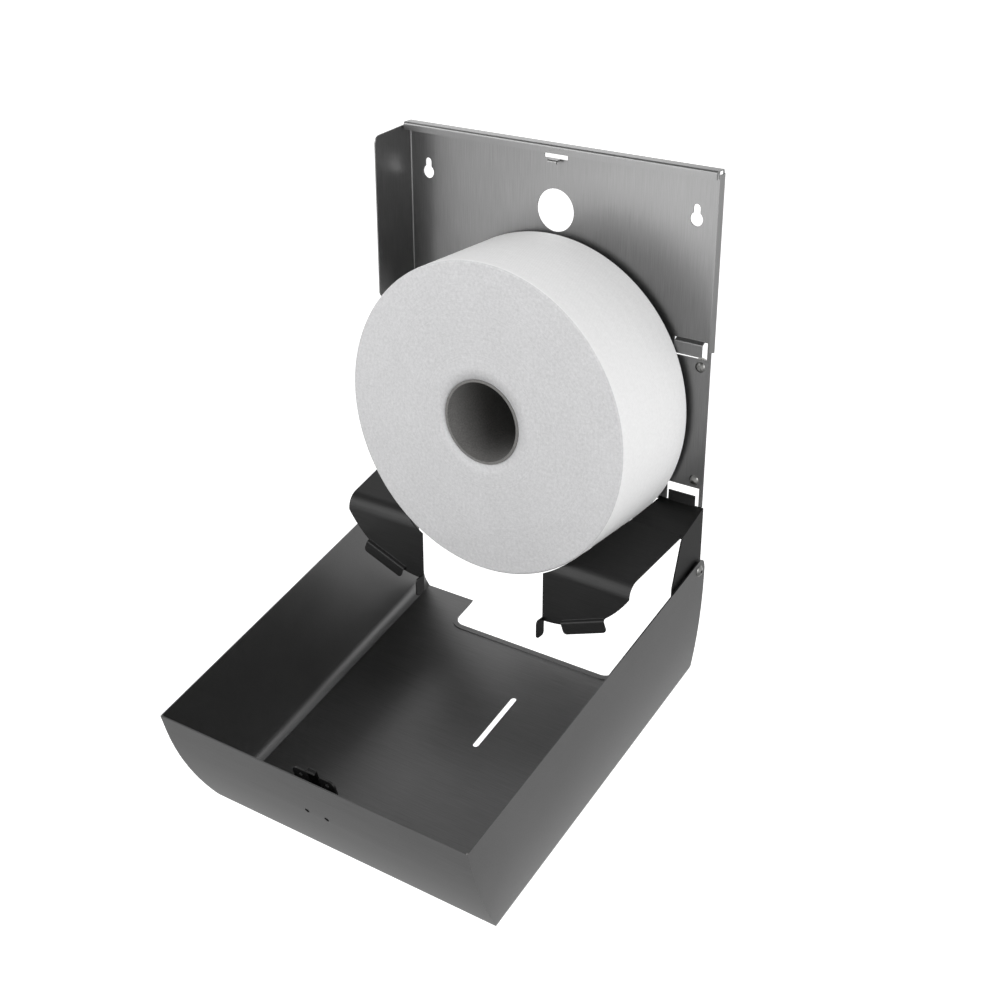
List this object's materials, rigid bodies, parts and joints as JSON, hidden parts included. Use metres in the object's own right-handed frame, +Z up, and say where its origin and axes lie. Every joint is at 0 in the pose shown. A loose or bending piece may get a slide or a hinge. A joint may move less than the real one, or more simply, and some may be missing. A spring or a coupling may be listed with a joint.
{
  "type": "jumbo toilet roll dispenser",
  "caption": "Wall-mounted sheet steel dispenser for a jumbo paper roll: a back plate with a roll cradle and a drop-down front cover with a push-pin lock.",
  "frame": {"origin": "on the wall plane, midway between the two keyhole screw seats", "axes": "+Z up, +Y into the wall, +X to the right seen from in front"},
  "size_m": [0.281, 0.3053, 0.4737],
  "materials": {
    "stainless": "satin brushed",
    "stainless_cover": "satin brushed",
    "stainless_dark": "satin",
    "rivet_steel": "smooth",
    "spring_steel": "smooth",
    "lock_plate": "zinc plated",
    "nylon_black": "moulded",
    "nylon_white": "moulded",
    "core_board": "plain",
    "tissue_paper": "soft embossed"
  },
  "bodies": {
    "frame": {"back_plate": "stainless", "wall_feet": "nylon_white", "foot_rivets": "rivet_steel", "cradle": "stainless_dark", "cradle_rivets": "rivet_steel", "hinge_pin_left": "rivet_steel", "hinge_pin_right": "rivet_steel", "hinge_washer_left": "rivet_steel", "hinge_washer_right": "rivet_steel"},
    "cover": {"hinge_bush_left": "nylon_black", "hinge_bush_right": "nylon_black", "cover_shell": "stainless_cover", "lock_body": "nylon_black", "lock_keeper": "lock_plate", "lock_studs": "rivet_steel", "lock_nuts": "rivet_steel", "latch_spring_left": "spring_steel", "latch_spring_right": "spring_steel"},
    "latch": {"latch_tongue": "lock_plate", "release_pins": "rivet_steel"},
    "roll": {"roll_core": "core_board", "paper_roll": "tissue_paper"}
  },
  "joints": [
    {"name": "cover_hinge", "type": "hinge", "parent": "frame", "child": "cover", "pos_m": [0, -0.009, -0.274], "axis": [1, 0, 0], "range_deg": [-105.7, 0]},
    {"name": "latch_slide", "type": "slide", "parent": "cover", "child": "latch", "axis": [0, -0.9627, -0.2706], "range_m": [-0.003, 0], "stiffness_N_per_m": 600, "springref_m": 0.003, "deforming": ["latch_spring_left", "latch_spring_right"]},
    {"name": "roll_spin", "type": "hinge", "parent": "frame", "child": "roll", "pos_m": [0, -0.05, -0.156], "axis": [0, 1, 0], "continuous": true}
  ]
}
